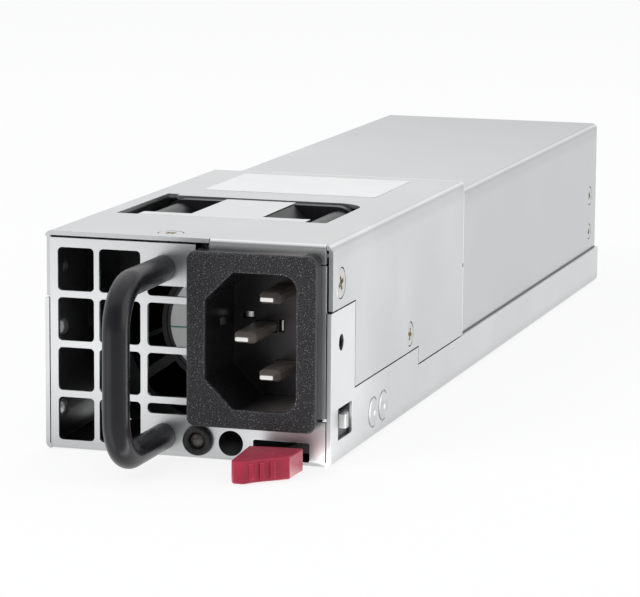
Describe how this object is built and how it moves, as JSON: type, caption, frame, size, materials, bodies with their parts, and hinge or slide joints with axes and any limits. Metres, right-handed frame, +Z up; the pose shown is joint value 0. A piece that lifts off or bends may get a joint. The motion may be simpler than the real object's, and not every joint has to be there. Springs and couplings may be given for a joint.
{
  "type": "hot swap server power supply",
  "caption": "Slide-in steel power supply with AC inlet, fan grille, pull handle, release latch and rear card-edge connector.",
  "frame": {"origin": "centre of the case's flat bottom face", "axes": "+Y towards the rear connector (the inlet and handle face -Y), +Z up, +X to the right seen from the inlet end"},
  "size_m": [0.0553, 0.2542, 0.0401],
  "materials": {
    "zinc_steel": "satin zinc plate",
    "screw_steel": "satin",
    "rivet_steel": "satin",
    "spring_steel": "satin",
    "tooth_steel": "satin",
    "brass_nickel": "satin",
    "black_coated_steel": "satin",
    "textured_black_plastic": "fine spark-eroded texture",
    "black_plastic": "matt",
    "maroon_plastic": "satin",
    "plated_pin": "bright nickel",
    "led_resin": "clear resin",
    "fan_black": "satin",
    "rotor_black": "satin",
    "grey_label": "satin film",
    "clip_steel": "satin",
    "white_label": "matt film",
    "red_wire": "satin",
    "black_wire": "satin",
    "brown_wire": "satin",
    "blue_wire": "satin",
    "green_wire": "satin",
    "board_green": "solder resist",
    "black_film": "matt film",
    "gold_contact": "gold plate",
    "yellow_case": "gloss",
    "relay_case": "satin",
    "transformer_tape": "film tape",
    "ferrite": "sintered",
    "copper_winding": "enamel",
    "fuse_ceramic": "glazed",
    "heatsink_aluminium": "extruded",
    "chip_black": "moulded",
    "capacitor_sleeve": "sleeve",
    "capacitor_can": "bright can"
  },
  "bodies": {
    "case": {"ac_inlet_housing": "textured_black_plastic", "air_baffle": "black_plastic", "board_screws": "screw_steel", "board_standoffs": "brass_nickel", "bridge_rectifier": "chip_black", "bulk_capacitor": "capacitor_sleeve", "bulk_capacitor_leads": "plated_pin", "chassis_tray": "zinc_steel", "control_card": "board_green", "control_chips": "chip_black", "cover_screws": "screw_steel", "edge_contacts_bottom": "gold_contact", "edge_contacts_top": "gold_contact", "emi_choke": "copper_winding", "fan_clip": "clip_steel", "fan_frame": "fan_black", "fan_hub_label": "grey_label", "fan_wire_black": "black_wire", "fan_wire_red": "red_wire", "front_cover": "zinc_steel", "fuse_clips": "plated_pin", "handle": "black_coated_steel", "handle_screws": "screw_steel", "inlet_pin_earth": "plated_pin", "inlet_pin_line": "plated_pin", "inlet_pin_neutral": "plated_pin", "inlet_wire_earth": "green_wire", "inlet_wire_line": "brown_wire", "inlet_wire_neutral": "blue_wire", "input_fuse": "fuse_ceramic", "input_terminal_block": "black_plastic", "inrush_relay": "relay_case", "insulator_sheet": "black_film", "latch_rivets": "rivet_steel", "latch_strap": "spring_steel", "led_holder": "black_plastic", "main_board": "board_green", "output_capacitors": "capacitor_can", "output_choke": "ferrite", "power_transistors": "chip_black", "primary_heatsink": "heatsink_aluminium", "rear_cover": "zinc_steel", "rear_panel": "zinc_steel", "rear_screws": "screw_steel", "secondary_heatsink": "heatsink_aluminium", "standby_transformer": "transformer_tape", "status_led": "led_resin", "top_label": "white_label", "transformer_base": "black_plastic", "transformer_core": "ferrite", "transformer_winding": "transformer_tape", "x_capacitor_front": "yellow_case", "x_capacitor_rear": "yellow_case"},
    "latch": {"latch_arm": "spring_steel", "latch_tooth": "tooth_steel", "latch_button": "maroon_plastic"},
    "fan_rotor": {"fan_rotor": "rotor_black"}
  },
  "joints": [
    {"name": "latch_press", "type": "hinge", "parent": "case", "child": "latch", "pos_m": [0.0259, -0.088, 0.005], "axis": [0, 0, -1], "range_deg": [0, 7], "stiffness_Nm_per_rad": 0.8},
    {"name": "fan_spin", "type": "hinge", "parent": "case", "child": "fan_rotor", "pos_m": [-0.0023, -0.079, 0.0199], "axis": [0, 1, 0], "continuous": true}
  ]
}
